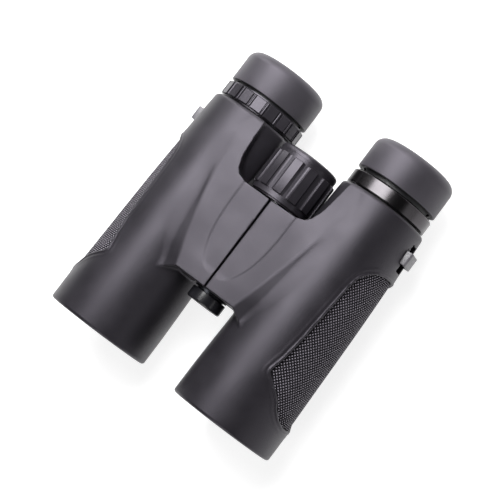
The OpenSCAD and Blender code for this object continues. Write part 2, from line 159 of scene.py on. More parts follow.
def surface_net(distance, low, high, pitch):
    """Closed quad mesh of distance = 0 in a box, with vertices moved onto the surface."""
    axes = [np.arange(low[i], high[i] + pitch, pitch) for i in range(3)]
    grid = np.stack(np.meshgrid(*axes, indexing="ij"), -1)
    f = np.empty(grid.shape[:3])
    for i in range(grid.shape[0]):
        f[i] = distance(grid[i, ..., 0], grid[i, ..., 1], grid[i, ..., 2])
    f[np.abs(f) < 1e-9] = 1e-9
    neg = f < 0
    nx, ny, nz = f.shape
    corners = [(a, b, c) for a in (0, 1) for b in (0, 1) for c in (0, 1)]

    def corner(arr, c):
        return arr[c[0]:nx - 1 + c[0], c[1]:ny - 1 + c[1], c[2]:nz - 1 + c[2]]

    count = sum(corner(neg, c).astype(int) for c in corners)
    active = (count > 0) & (count < 8)
    where = np.argwhere(active)
    index = np.full(active.shape, -1)
    index[active] = np.arange(len(where))
    values = {c: corner(f, c)[active] for c in corners}
    total = np.zeros((len(where), 3))
    hits = np.zeros(len(where))
    for c in corners:
        for axis in range(3):
            if c[axis]:
                continue
            d = list(c)
            d[axis] = 1
            a, b = values[c], values[tuple(d)]
            cut = (a < 0) != (b < 0)
            t = np.where(cut, a / np.where(cut, a - b, 1), 0)
            point = np.tile(np.array(c, float), (len(where), 1))
            point[:, axis] = t
            total[cut] += point[cut]
            hits[cut] += 1
    verts = (where + total / hits[:, None]) * pitch + np.array([a[0] for a in axes])
    quads = []
    for axis in range(3):
        u, w = [i for i in range(3) if i != axis]
        first = [slice(0, n) for n in (nx, ny, nz)]
        second = [slice(0, n) for n in (nx, ny, nz)]
        first[axis] = slice(0, -1)
        second[axis] = slice(1, None)
        a, b = neg[tuple(first)], neg[tuple(second)]
        for flip in (False, True):
            e = np.argwhere((a & ~b) if not flip else (~a & b))
            keep = (e[:, u] > 0) & (e[:, w] > 0) & (e[:, u] < f.shape[u] - 1) & (e[:, w] < f.shape[w] - 1)
            e = e[keep]
            ring = []
            for du, dw in ((1, 1), (0, 1), (0, 0), (1, 0)):
                q = e.copy()
                q[:, u] -= du
                q[:, w] -= dw
                ring.append(index[q[:, 0], q[:, 1], q[:, 2]])
            quad = np.stack(ring, 1)
            turn = flip != (axis == 1)
            quads.append(quad[:, ::-1] if turn else quad)
    quads = np.concatenate(quads)
    for _ in range(3):
        value, slope = value_and_slope(distance, verts)
        step = value[:, None] * slope / np.maximum((slope**2).sum(1), 0.25)[:, None]
        length = np.linalg.norm(step, axis=1, keepdims=True)
        verts = verts - step * np.minimum(1, 0.4 * pitch / np.maximum(length, 1e-9))
    _, slope = value_and_slope(distance, verts)
    normals = slope / np.maximum(np.linalg.norm(slope, axis=1, keepdims=True), 1e-9)
    return verts, quads, normals


def value_and_slope(distance, points, h=0.06):
    """Distance and its gradient at each point, by central differences."""
    value = distance(points[:, 0], points[:, 1], points[:, 2])
    slope = np.empty_like(points)
    for axis in range(3):
        shift = np.zeros(3)
        shift[axis] = h
        up, down = points + shift, points - shift
        slope[:, axis] = (
            distance(up[:, 0], up[:, 1], up[:, 2]) - distance(down[:, 0], down[:, 1], down[:, 2])
        ) / (2 * h)
    return value, slope


# ---------------------------------------------------------------- mesh helpers


def make_mesh(name, verts, faces, normals=None, mirror=False):
    """Object from points in mm; mirror turns the right-hand shape into the left-hand one."""
    verts = np.array(verts, float) * MM
    faces = [list(map(int, f)) for f in faces]
    if mirror:
        verts[:, 0] *= -1
        faces = [f[::-1] for f in faces]
    mesh = bpy.data.meshes.new(name)
    mesh.from_pydata(verts.tolist(), [], faces)
    mesh.polygons.foreach_set("use_smooth", [True] * len(mesh.polygons))
    if normals is not None:
        normals = np.array(normals, float)
        if mirror:
            normals[:, 0] *= -1
        mesh.normals_split_custom_set_from_vertices(normals.tolist())
    mesh.update()
    piece = bpy.data.objects.new(name, mesh)
    bpy.context.scene.collection.objects.link(piece)
    return piece


def arc(cx, cy, r, a0, a1, n=6):
    """Points of an arc, angles in degrees."""
    return [
        (cx + r * math.cos(math.radians(a0 + (a1 - a0) * i / n)),
         cy + r * math.sin(math.radians(a0 + (a1 - a0) * i / n)))
        for i in range(n + 1)
    ]


def lathe(name, profile, centre, outline=None, segments=160, sharp=32):
    """Closed solid of revolution about a line along Y through centre (x, z).

    profile is a closed loop of (radius, y). outline is (angles, radii, least): profile points with a
    radius over least follow it round the solid, and the profile's largest radius is its full height.
    """
    if outline is None:
        angles = np.arange(segments) * 2 * math.pi / segments
    else:
        angles, pattern, least = outline
        largest = max(r for r, _ in profile)
    n, m = len(profile), len(angles)
    verts = []
    for r, y in profile:
        radii = np.full(m, float(r))
        if outline is not None and r > least:
            radii = np.maximum(pattern - (largest - r), least)
        verts += [
            (centre[0] + q * math.sin(t), y, centre[1] + q * math.cos(t)) for t, q in zip(angles, radii)
        ]
    faces = []
    for i in range(n):
        for k in range(m):
            i2, k2 = (i + 1) % n, (k + 1) % m
            faces.append((i * m + k, i * m + k2, i2 * m + k2, i2 * m + k))
    area = sum(
        profile[i][0] * profile[(i + 1) % n][1] - profile[(i + 1) % n][0] * profile[i][1] for i in range(n)
    )
    if area < 0:
        faces = [f[::-1] for f in faces]
    piece = make_mesh(name, verts, faces)
    mark_sharp(piece, sharp)
    return piece


def repeated_outline(period, count, phase, points, least):
    """Outline for lathe from one period's (degrees, radius) points, turned by phase degrees."""
    angles = []
    radii = []
    for i in range(count):
        for degrees, radius in points:
            angles.append(math.radians(phase + i * period + degrees))
            radii.append(radius)
    return np.array(angles), np.array(radii), least


def extruded(name, loop, y0, y1, bevel):
    """Prism with a closed outline of (x, z) from y0 to y1, with bevelled edges."""
    n = len(loop)
    verts = [(x, y, z) for y in (y0, y1) for x, z in loop]
    faces = [tuple(range(n)), tuple(range(2 * n - 1, n - 1, -1))]
    faces += [(i, i + n, (i + 1) % n + n, (i + 1) % n) for i in range(n)]
    piece = make_mesh(name, verts, faces)
    bm = bmesh.new()
    bm.from_mesh(piece.data)
    bmesh.ops.recalc_face_normals(bm, faces=bm.faces)
    edges = [e for e in bm.edges if e.calc_face_angle(0) > math.radians(30)]
    bmesh.ops.bevel(bm, geom=edges, offset=bevel * MM, segments=3, profile=0.5, affect="EDGES")
    for f in bm.faces:
        f.smooth = True
    bm.to_mesh(piece.data)
    bm.free()
    mark_sharp(piece, 40)
    return piece


def mark_sharp(piece, degrees):
    """Smooth shading that keeps edges sharper than an angle."""
    bm = bmesh.new()
    bm.from_mesh(piece.data)
    bmesh.ops.remove_doubles(bm, verts=bm.verts, dist=1e-7)
    limit = math.radians(degrees)
    for e in bm.edges:
        e.smooth = not (len(e.link_faces) == 2 and e.calc_face_angle(0) > limit)
    bm.to_mesh(piece.data)
    bm.free()


# ---------------------------------------------------------------- materials


def new_material(name, base, roughness, metallic=0.0, specular=0.5):
    """Principled material; returns it with its node tree and shader."""
    mat = bpy.data.materials.new(name)
    mat.use_nodes = True
    shader = mat.node_tree.nodes["Principled BSDF"]
    shader.inputs["Base Color"].default_value = (*base, 1)
    shader.inputs["Roughness"].default_value = roughness
    shader.inputs["Metallic"].default_value = metallic
    shader.inputs["Specular IOR Level"].default_value = specular
    return mat, mat.node_tree, shader


def add_noise(tree, scale, detail=2.0, roughness=0.5):
    """Noise in object space, with scale in cycles per metre."""
    coords = tree.nodes.new("ShaderNodeTexCoord")
    noise = tree.nodes.new("ShaderNodeTexNoise")
    noise.inputs["Scale"].default_value = scale
    noise.inputs["Detail"].default_value = detail
    noise.inputs["Roughness"].default_value = roughness
    tree.links.new(coords.outputs["Object"], noise.inputs["Vector"])
    return noise


def ramp(tree, source, stops):
    """Colour ramp from (position, colour) pairs."""
    node = tree.nodes.new("ShaderNodeValToRGB")
    elements = node.color_ramp.elements
    while len(elements) < len(stops):
        elements.new(0.5)
    for element, (position, colour) in zip(elements, stops):
        element.position = position
        element.color = (*colour, 1)
    tree.links.new(source, node.inputs["Fac"])
    return node.outputs["Color"]


def map_value(tree, source, low, high, start=0.0, end=1.0):
    """Maps start..end of a socket to low..high."""
    node = tree.nodes.new("ShaderNodeMapRange")
    node.inputs["From Min"].default_value = start
    node.inputs["From Max"].default_value = end
    node.inputs["To Min"].default_value = low
    node.inputs["To Max"].default_value = high
    tree.links.new(source, node.inputs["Value"])
    return node.outputs["Result"]


def add_bump(tree, shader, heights, strength, distance):
    """Bump from a height socket."""
    bump = tree.nodes.new("ShaderNodeBump")
    bump.inputs["Strength"].default_value = strength
    bump.inputs["Distance"].default_value = distance
    tree.links.new(heights, bump.inputs["Height"])
    tree.links.new(bump.outputs["Normal"], shader.inputs["Normal"])


def add_values(tree, a, b, weight):
    """a + weight * b."""
    node = tree.nodes.new("ShaderNodeMath")
    node.operation = "MULTIPLY_ADD"
    node.inputs[1].default_value = weight
    tree.links.new(b, node.inputs[0])
    tree.links.new(a, node.inputs[2])
    return node.outputs["Value"]


# Depth of each finish's relief, in metres
RUBBER_GRAIN_DEPTH = 0.00012
PAINT_GRAIN_DEPTH = 0.00004
TURNING_DEPTH = 0.00003
RUBBER_SHEEN_COLOUR = (0.93, 0.87, 1.0, 1)
COATING_COLOUR = (0.72, 0.85, 0.95, 1)


def rubber(name, base, roughness, grain=2600, bump=0.5, tint=0.12):
    """Matt moulded rubber: fine grain, faint blotches and a slight change of polish."""
    mat, tree, shader = new_material(name, base, roughness, specular=0.42)
    shader.inputs["Specular Tint"].default_value = RUBBER_SHEEN_COLOUR
    blotch = add_noise(tree, 60, 3)
    fine = add_noise(tree, grain, 2, 0.6)
    dark = tuple(c * (1 - tint) for c in base)
    light = tuple(c * (1 + tint) for c in base)
    mixed = add_values(tree, blotch.outputs["Fac"], fine.outputs["Fac"], 0.35)
    tree.links.new(ramp(tree, mixed, [(0.45, dark), (0.85, light)]), shader.inputs["Base Color"])
    polish = map_value(tree, blotch.outputs["Fac"], roughness - 0.05, roughness + 0.05, 0.3, 0.7)
    tree.links.new(polish, shader.inputs["Roughness"])
    add_bump(tree, shader, fine.outputs["Fac"], bump, RUBBER_GRAIN_DEPTH)
    return mat


def metal_paint(name, base, roughness, metallic=0.0, grain=900, bump=0.15, specular=0.5, mottle=0.18):
    """Smooth painted, anodised or moulded surface with a faint mottle."""
    mat, tree, shader = new_material(name, base, roughness, metallic, specular)
    fine = add_noise(tree, grain, 3)
    wide = add_noise(tree, 90, 2)
    dark = tuple(c * 0.9 for c in base)
    light = tuple(min(1, c * 1.1) for c in base)
    colours = ramp(tree, wide.outputs["Fac"], [(0.35, dark), (0.65, light)])
    tree.links.new(colours, shader.inputs["Base Color"])
    low, high = roughness * (1 - mottle), roughness * (1 + mottle)
    polish = map_value(tree, fine.outputs["Fac"], low, high, 0.35, 0.65)
    tree.links.new(polish, shader.inputs["Roughness"])
    add_bump(tree, shader, fine.outputs["Fac"], bump, PAINT_GRAIN_DEPTH)
    return mat


def turned_metal(name, base, roughness, lines=5200):
    """Metal with fine turning lines across its length, along Y."""
    mat, tree, shader = new_material(name, base, roughness, 1.0)
    coords = tree.nodes.new("ShaderNodeTexCoord")
    wave = tree.nodes.new("ShaderNodeTexWave")
    wave.bands_direction = "Y"
    wave.inputs["Scale"].default_value = lines / 20
    wave.inputs["Distortion"].default_value = 0.6
    tree.links.new(coords.outputs["Object"], wave.inputs["Vector"])
    dark = tuple(c * 0.88 for c in base)
    colours = ramp(tree, wave.outputs["Fac"], [(0.2, dark), (0.8, base)])
    tree.links.new(colours, shader.inputs["Base Color"])
    polish = map_value(tree, wave.outputs["Fac"], roughness * 0.9, roughness * 1.15)
    tree.links.new(polish, shader.inputs["Roughness"])
    add_bump(tree, shader, wave.outputs["Fac"], 0.2, TURNING_DEPTH)
    return mat


def coated_glass(name):
    """Optical glass drawn opaque: its dark colour is painted shade for the inside of the barrel, and a
    painted reflection of the coating turns green to violet and then paler towards grazing angles.
    """
    mat, tree, shader = new_material(name, (0.012, 0.014, 0.018), 0.03, specular=0.25)
    layer = tree.nodes.new("ShaderNodeLayerWeight")
    layer.inputs["Blend"].default_value = 0.35
    speck = add_noise(tree, 700, 2)
    mixed = add_values(tree, layer.outputs["Facing"], speck.outputs["Fac"], 0.04)
    # Painted reflection over painted shade: coating colours face-on, a paler tone at grazing angles, all
    # kept dark.
    green, violet, grey = (0.010, 0.022, 0.020), (0.020, 0.012, 0.034), (0.05, 0.05, 0.06)
    colours = ramp(tree, mixed, [(0.0, green), (0.45, violet), (1.0, grey)])
    tree.links.new(colours, shader.inputs["Base Color"])
    shader.inputs["Coat Weight"].default_value = 0.3
    shader.inputs["Coat Roughness"].default_value = 0.02
    shader.inputs["Coat Tint"].default_value = COATING_COLOUR
    return mat


MATERIALS = {
    "armour": rubber("armour_rubber", (0.0112, 0.0102, 0.0125), 0.42, bump=0.4),
    "grip": rubber("grip_rubber", (0.012, 0.011, 0.0135), 0.42, grain=3600, bump=0.35),
    # Painted highlight: the light colour of the stud tips stands for the light they catch.
    "grip_tip_highlight": rubber("grip_stud_painted_highlights", (0.23, 0.213, 0.245), 0.42, grain=3600, bump=0.1),
    "eyecup": rubber("eyecup_rubber", (0.034, 0.0315, 0.037), 0.46, grain=3600, bump=0.28),
    "wheel": rubber("wheel_rubber", (0.0145, 0.0132, 0.016), 0.36, grain=3400, bump=0.25),
    "dioptre": rubber("dioptre_rubber", (0.02, 0.0185, 0.022), 0.27, grain=3400, bump=0.12),
    "seal": rubber("seal_rubber", (0.012, 0.012, 0.012), 0.5),
    "trim": metal_paint("trim_metal", (0.064, 0.06, 0.064), 0.24, 1.0, grain=2600, bump=0.02, mottle=0.05),
    "cap": metal_paint("cap_plastic", (0.008, 0.008, 0.01), 0.26, grain=2600, bump=0.03, mottle=0.05),
    "black_metal": metal_paint("black_metal", (0.015, 0.015, 0.018), 0.38, 0.2),
    "blued_steel": metal_paint("blued_steel", (0.03, 0.031, 0.036), 0.34, 0.8),
    "black_plastic": metal_paint("black_plastic", (0.012, 0.012, 0.014), 0.5),
    "lug": metal_paint("lug_paint", (0.09, 0.085, 0.097), 0.42, specular=0.7),
    "alloy": metal_paint("cast_alloy", (0.02, 0.02, 0.023), 0.55, 0.3, grain=1800, bump=0.4),
    "steel": turned_metal("turned_steel", (0.55, 0.55, 0.57), 0.3),
    "brass": turned_metal("turned_brass", (0.7, 0.5, 0.22), 0.28),
    "glass": coated_glass("coated_glass"),
}

SLOT_MATERIALS = {
    "armour_rubber": "armour",
    "grip_rubber": "grip",
    "eyecup_rubber": "eyecup",
    "wheel_rubber": "wheel",
    "seal_rubber": "seal",
    "coated_glass": "glass",
    "cast_alloy": "alloy",
    "plain_steel": "steel",
    "brass": "brass",
    "black_metal": "black_metal",
    "black_plastic": "black_plastic",
}
NODE_SLOTS = {part["node"]: part["material_slot"] for part in frame["record"]["subparts"]}
NODE_BODIES = {
    node: body for body, nodes in frame["record"]["behaviour"]["bodies"].items() for node in nodes
}


def place(piece, material, *nodes):
    """Gives a piece its material and lets it stand for CAD nodes, on their body."""
    piece.data.materials.clear()
    piece.data.materials.append(MATERIALS[material])
    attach(piece, NODE_BODIES[nodes[0]])
    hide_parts(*nodes)


def paint_frame():
    """Gives each CAD node the material of its slot; the tripod bush is blued steel."""
    for name, node in frame["nodes"].items():
        material = MATERIALS[SLOT_MATERIALS[NODE_SLOTS[name]]]
        if name == "tripod_bush":
            material = MATERIALS["blued_steel"]
        if not node.material_slots:
            node.data.materials.append(material)
        for entry in node.material_slots:
            entry.material = material


paint_frame()

# ---------------------------------------------------------------- armour

SEAM_HALF = 0.35
BRIDGE_FRONT_Y = -28.8
BRIDGE_BACK_Y = 19.3
PANEL_DROP = 1.0
PANEL_FLOOR = 1.95

# Outside radius of the armour along the barrel
BARREL_STATIONS = [-80, -66, -59.5, -48, -36.5, 0, 25, 38, 44.6, 60]
BARREL_RADII = [BELL_R, BELL_R, 25.88, 25.65, 25.35, 24.4, 23.3, 22.6, 22.2, 21.2]

# Grip panel outline: angle from straight up towards the outer side in degrees, and y
PANEL_HALF = [
    (90, -57.4), (76.6, -57.2), (63.8, -55.4), (54.4, -52.4), (48.4, -48.9), (39.3, -45.8),
    (24.2, -41.2), (28.7, -32.7), (32, -21.8), (35.6, -4.4), (38.4, 8.5), (41.3, 13.9),
    (47.8, 17.4), (57.4, 20), (70.7, 21.3), (90, 21.8),
]
PANEL_ARC_R = 24.4
PANEL_CORNER = 24.2
PANEL_CORNER_ROUND = 2.5
PANEL_ROUND = 6

# Bead round the panel and the faint line outside it: height, distance from the outline, width
BEAD = (0.38, 0.75, 0.55)
BEAD_LINE = (0.12, 2.6, 0.7)


def barrel_radius(y):
    """Outside radius of the barrel's armour at y."""
    return soft_interp(y, BARREL_STATIONS, BARREL_RADII)


def panel_loop():
    """Panel outline in millimetres of arc from the outer side, and y."""
    upper = [((90 - a) * math.pi / 180 * PANEL_ARC_R, y) for a, y in PANEL_HALF]
    lower = [(-s, y) for s, y in upper[1:-1]]
    loop = upper + lower[::-1]
    corner = (90 - PANEL_CORNER) * math.pi / 180 * PANEL_ARC_R
    radii = [PANEL_CORNER_ROUND if abs(abs(s) - corner) < 0.1 else PANEL_ROUND for s, _ in loop]
    return rounded_loop(loop, radii, 4)


PANEL = panel_loop()
MAP_STEP = 0.25
MAP_S = np.arange(-34, 34, MAP_STEP)
MAP_Y = np.arange(-64, 28, MAP_STEP)
PANEL_MAP = polygon_distance(*np.meshgrid(MAP_S, MAP_Y, indexing="ij"), PANEL)


def panel_distance(s, y):
    """Signed distance to the panel outline, read from a map of it."""
    i = np.clip((s - MAP_S[0]) / MAP_STEP, 0, len(MAP_S) - 1.001)
    j = np.clip((y - MAP_Y[0]) / MAP_STEP, 0, len(MAP_Y) - 1.001)
    i0, j0 = i.astype(int), j.astype(int)
    u, v = i - i0, j - j0
    m = PANEL_MAP
    return (
        m[i0, j0] * (1 - u) * (1 - v) + m[i0 + 1, j0] * u * (1 - v)
        + m[i0, j0 + 1] * (1 - u) * v + m[i0 + 1, j0 + 1] * u * v
    )


def outer_angle(x, z):
    """Angle from the horizontal outer side of the barrel, positive upwards."""
    return np.arctan2(z - BARREL_Z, x - BARREL_X)


def armour_radius(x, y, z):
    """Radius of the armour's outside with the panel's bead and recess."""
    base = barrel_radius(y)
    d = panel_distance(outer_angle(x, z) * PANEL_ARC_R, y)
    bead = sum(height * np.exp(-(((d - at) / width) ** 2)) for height, at, width in (BEAD, BEAD_LINE))
    recess = PANEL_FLOOR * smooth_step((0.12 - d) / 0.45)
    return base + bead - recess


# Crease between the bridge's plate and its side, and the foot of that side on the barrel, along Y
CREASE_Y = [-34, -28.8, -18.9, -2.6, 12, 22.3, 33.3, 46]
CREASE_X = [15.0, 16.5, 19.5, 24.1, 28.0, 30.4, 32.4, 34.0]
CREASE_Z = [23.7, 23.8, 24.2, 24.5, 24.3, 23.8, 23.1, 21.6]
FOOT_X = [23.4, 24.2, 27.6, 30.6, 32.2, 34.0, 35.5, 36.8]
CREASE_ROUND_Y = [-20, 15, 40]
CREASE_ROUND = [0.25, 0.45, 1.2]
FILLET_Y = [10, 24, 33]
FILLET = [1.6, 1.2, 0.35]

# Edge of the wheel pocket, height of the seam over the barrel axes, and the trough beside the seam
POCKET_EDGE_Y = [BRIDGE_BACK_Y, 20.3, 22.6, 26.8, 31, 35.8, 45.6, 50]
POCKET_EDGE_X = [14.5, 18.4, 20.6, 22.3, 23.1, 23.7, 24.7, 25.2]
SEAM_Y = [-30, -10, 5, 20, 46]
SEAM_Z = [22.7, 22.7, 22.6, 22.6, 20.5]
TROUGH_FRONT_Y = -23.5
TROUGH_LENGTH = 43
TROUGH_HALF = 14.7
TROUGH_STEP = 0.24
TROUGH_EDGE = 1.6
TROUGH_TILT = 0.012
RISE_LEAST = 6.5
CORNER_CUT_X = 16.5
CORNER_SLANT = 0.62
WEDGE_FLOOR = 8.0

# Factors that turn a height over a slope into a distance from it
POCKET_GRADE = 0.93
PLATE_GRADE = 0.985
SIDE_GRADE = 0.97
CORNER_GRADE = 0.86

# Hinge housing under the bridge, and the round rooms for the wheel and the knuckles
HOUSING_Z = BARREL_Z + 7.5
HOUSING_HALF_Z = 6.4
HOUSING_X = 6.6
WHEEL_ROOM_R = 17.0
KNUCKLE_ROOM_R = 9.2

# Slot of the strap lug's bar and the pockets of its legs
STRAP_SLOT_HALF_Z = 3.3
STRAP_SLOT_Y = 33.9
STRAP_SLOT_HALF_Y = 6.9
STRAP_LEG_HALF_Z = 5.45
STRAP_LEG_Y = 34
STRAP_LEG_HALF_Y = 3.45
STRAP_FLOOR_X = BARREL_X + 19.35

# Bore of the armour along the barrel, with a lip at each end
BORE_Y = [-72.05, -72.0, -58, 18, 18.1, 46]
BORE_R = [22.6, 23.45, 23.45, 21.25, 20.15, 19.75]
FRONT_LIP_Y = -72
FRONT_LIP_R = 22.6
REAR_LIP_Y = 46.05
REAR_LIP_R = 17.2

# Room inside the bridge for the casting
ROOM_Z = BARREL_Z + 11.1
ROOM_HALF_Z = 7.95
ROOM_Y = -4.0
ROOM_HALF_Y = 21.55
ROOM_END_Y = [-25.5, 0, 17.5]
ROOM_END_X = [14.55, 23.05, 28.05]


def pocket_distance(x, y):
    """Distance into the wedge from the wheel pocket's edge, positive on the wedge's side."""
    edge = np.interp(y, POCKET_EDGE_Y, POCKET_EDGE_X)
    return np.maximum(BRIDGE_BACK_Y - y, (x - edge) * POCKET_GRADE)


def plate_height(x, y, crease_x, crease_z):
    """Top plate: a nearly level trough along the seam, then a border that rises to the crease."""
    seam_z = soft_interp(y, SEAM_Y, SEAM_Z)
    along = np.clip((y - TROUGH_FRONT_Y) / TROUGH_LENGTH, 0, 1)
    half = TROUGH_HALF * np.sqrt(1 - (1 - along) ** 3)
    level = seam_z + TROUGH_TILT * x
    rise_x = 0.5 * (half + RISE_LEAST + np.hypot(half - RISE_LEAST, 2.0))
    edge_z = seam_z + TROUGH_TILT * rise_x
    border = edge_z + (crease_z - edge_z) * (x - rise_x) / (crease_x - rise_x)
    plate = 0.5 * (level + border + np.hypot(level - border, 0.3))
    inside = smooth_step((half - x) / TROUGH_EDGE + 0.5) * smooth_step(along / 0.1)
    return plate - TROUGH_STEP * inside


def wedge_distance(x, y, z):
    """Bridge wedge: plates from the seam up to the crease, then down to the foot on the barrel."""
    h = z - BARREL_Z
    crease_x = soft_interp(y, CREASE_Y, CREASE_X)
    crease_z = soft_interp(y, CREASE_Y, CREASE_Z)
    foot_x = soft_interp(y, CREASE_Y, FOOT_X)
    reach = barrel_radius(y)
    foot_z = np.sqrt(np.maximum(reach**2 - (BARREL_X - foot_x) ** 2, 1)) - 0.25
    plate = plate_height(x, y, crease_x, crease_z)
    side = crease_z + (foot_z - crease_z) * (x - crease_x) / (foot_x - crease_x)
    crease_r = np.interp(y, CREASE_ROUND_Y, CREASE_ROUND)
    top = round_max(PLATE_GRADE * (h - plate), SIDE_GRADE * (h - side), crease_r)
    slanted = CORNER_GRADE * (BRIDGE_FRONT_Y - y - CORNER_SLANT * (x - CORNER_CUT_X))
    front = np.where(x > CORNER_CUT_X, slanted, BRIDGE_FRONT_Y - y)
    body = round_max(top, front, 0.45)
    body = round_max(body, SEAM_HALF - x, 0.35)
    body = np.maximum(body, WEDGE_FLOOR - h)
    body = round_max(body, -pocket_distance(x, y), 0.5)
    return np.maximum(body, x - BARREL_X)


def block_distance(centre_z, half_z, centre_y, half_y, y, z):
    """Distance to a bar along X, in the larger of its two directions."""
    return np.maximum(np.abs(z - centre_z) - half_z, np.abs(y - centre_y) - half_y)


def armour_distance(x, y, z):
    """Right half's armour: barrel, bridge wedge and hinge housing, less the rooms inside."""
    rho = np.hypot(x - BARREL_X, z - BARREL_Z)
    barrel = rho - armour_radius(x, y, z)
    hinge = np.hypot(x, z - HINGE_Z)
    across = np.maximum(HOUSING_X - x, x - BARREL_X)
    along = np.maximum(BRIDGE_FRONT_Y - y, y - BRIDGE_BACK_Y)
    housing = np.maximum(np.abs(z - HOUSING_Z) - HOUSING_HALF_Z, np.maximum(across, along))
    housing = round_max(housing, BRIDGE_FRONT_Y - y, 0.5)
    fillet = np.interp(y, FILLET_Y, FILLET)
    body = round_min(barrel, wedge_distance(x, y, z), fillet)
    body = round_min(body, housing, 2.0)
    body = round_max(body, np.minimum(WHEEL_ROOM_R - hinge, y - BRIDGE_BACK_Y), 0.4)
    body = np.maximum(body, KNUCKLE_ROOM_R - hinge)
    body = round_max(body, FRONT_Y - y, 1.3)
    body = round_max(body, y - RIM_Y, 1.8)
    slot = block_distance(BARREL_Z, STRAP_SLOT_HALF_Z, STRAP_SLOT_Y, STRAP_SLOT_HALF_Y, y, z)
    legs = block_distance(BARREL_Z, STRAP_LEG_HALF_Z, STRAP_LEG_Y, STRAP_LEG_HALF_Y, y, z)
    body = round_max(body, -np.maximum(slot, STRAP_FLOOR_X - x), 0.35)
    body = np.maximum(body, -np.maximum(legs, STRAP_FLOOR_X - x))
    bore = np.interp(y, BORE_Y, BORE_R)
    bore = np.where(y < FRONT_LIP_Y, FRONT_LIP_R, bore)
    bore = np.where(y > REAR_LIP_Y, REAR_LIP_R, bore)
    body = np.maximum(body, bore - rho)
    room = block_distance(ROOM_Z, ROOM_HALF_Z, ROOM_Y, ROOM_HALF_Y, y, z)
    room = np.maximum(room, x - np.interp(y, ROOM_END_Y, ROOM_END_X))
    return np.maximum(body, -room)


ARMOUR_PITCH = 0.62


def build_armour():
    """Meshes the right half's armour and mirrors it for the left."""
    pitch = ARMOUR_PITCH
    low = ARM_LOW - 2.1 * pitch
    high = ARM_HIGH + 2.1 * pitch
    low[0] = -1.5
    verts, quads, normals = surface_net(armour_distance, low, high, pitch)
    for side, sign in SIDES.items():
        piece = make_mesh(f"{side}_armour_shell", verts, quads, normals, mirror=sign < 0)
        place(piece, "armour", f"{side}_armour")


build_armour()

# ---------------------------------------------------------------- grip panels

# Studs: pitch along the barrel and round it in degrees, depth, height and the tip's share of the base
KNURL_PITCH_Y = 1.82
KNURL_PITCH_ANGLE = 4.05
KNURL_VALLEY = 0.34
KNURL_TIP = 0.2
KNURL_TIP_SIZE = 0.4
KNURL_BASE_SIZE = 0.97
KNURL_SPREAD = 72
PANEL_BACK = 0.9
PANEL_MARGIN_Y = 0.3
PANEL_MARGIN_ARC = 0.5


def panel_point(degrees, y, lift):
    """Point over the panel, lift above its mean surface; degrees from the outer side."""
    r = barrel_radius(y) - PANEL_DROP + lift
    t = math.radians(degrees)
    return (BARREL_X + r * math.cos(t), y, BARREL_Z + r * math.sin(t))


def panel_reach(y):
    """Half height of the panel at y, in millimetres of arc."""
    upper = sorted([(py, s) for s, py in PANEL if s >= 0])
    return np.interp(y, [p[0] for p in upper], [p[1] for p in upper])


def build_grips():
    """Textured insert of each barrel: a thin curved sheet with studs."""
    y_low = min(p[1] for p in PANEL)
    y_high = max(p[1] for p in PANEL)
    stations = np.linspace(y_low - PANEL_MARGIN_Y, y_high + PANEL_MARGIN_Y, 90)
    columns = np.linspace(-1, 1, 49)
    verts = []
    faces = []
    for lift in (-KNURL_VALLEY, -PANEL_BACK):
        for y in stations:
            reach = (panel_reach(y) + PANEL_MARGIN_ARC) / PANEL_ARC_R * 180 / math.pi
            verts += [panel_point(reach * c, float(y), lift) for c in columns]
    rows, cols = len(stations), len(columns)
    back = rows * cols
    for i in range(rows - 1):
        for k in range(cols - 1):
            a = i * cols + k
            faces.append((a, a + 1, a + cols + 1, a + cols))
            faces.append((back + a, back + a + cols, back + a + cols + 1, back + a + 1))
    edge = list(range(cols))
    edge += [i * cols + cols - 1 for i in range(1, rows)]
    edge += [(rows - 1) * cols + k for k in range(cols - 2, -1, -1)]
    edge += [i * cols for i in range(rows - 2, 0, -1)]
    for a, b in zip(edge, edge[1:] + edge[:1]):
        faces.append((b, a, back + a, back + b))
    verts, faces = add_studs(verts, [f[::-1] for f in faces], y_low, y_high)
    for side, sign in SIDES.items():
        piece = make_mesh(f"{side}_knurled_grip", verts, faces, mirror=sign < 0)
        mark_sharp(piece, 22)
        place(piece, "grip", f"{side}_grip_panel")
        paint_tip_highlights(piece)


def paint_tip_highlights(piece):
    """Gives the studs' flat tips their own much lighter material, a painted highlight for the light the tips
    catch.
    """
    piece.data.materials.append(MATERIALS["grip_tip_highlight"])
    for face in piece.data.polygons:
        x, y, z = (c / MM for c in face.center)
        lift = math.hypot(abs(x) - BARREL_X, z - BARREL_Z) - float(barrel_radius(np.array(y))) + PANEL_DROP
        face.material_index = 1 if lift > KNURL_TIP - 0.06 else 0


def add_studs(verts, faces, y_low, y_high):
    """Staggered diamond studs over the panel, each a small pyramid with a cut-off tip."""
    count_y = int((y_high - y_low) / KNURL_PITCH_Y) + 2
    count_a = int(KNURL_SPREAD / KNURL_PITCH_ANGLE)
    for i in range(count_y):
        for k in range(-count_a, count_a + 1):
            for shift in (0, 0.5):
                y = y_low + (i + shift) * KNURL_PITCH_Y
                degrees = (k + shift) * KNURL_PITCH_ANGLE
                if panel_distance(math.radians(degrees) * PANEL_ARC_R, y) > -0.2:
                    continue
                base = len(verts)
                for size, lift in ((KNURL_BASE_SIZE, -KNURL_VALLEY - 0.03), (KNURL_TIP_SIZE, KNURL_TIP)):
                    half_y = KNURL_PITCH_Y / 2 * size
                    half_a = KNURL_PITCH_ANGLE / 2 * size
                    verts += [
                        panel_point(degrees + half_a, y, lift),
                        panel_point(degrees, y - half_y, lift),
                        panel_point(degrees - half_a, y, lift),
                        panel_point(degrees, y + half_y, lift),
                    ]
                faces.append((base + 4, base + 7, base + 6, base + 5)[::-1])
                faces.append((base, base + 1, base + 2, base + 3)[::-1])
                for j in range(4):
                    j2 = (j + 1) % 4
                    faces.append((base + j, base + j2, base + 4 + j2, base + 4 + j))
    return verts, faces


build_grips()

# ---------------------------------------------------------------- eyepieces

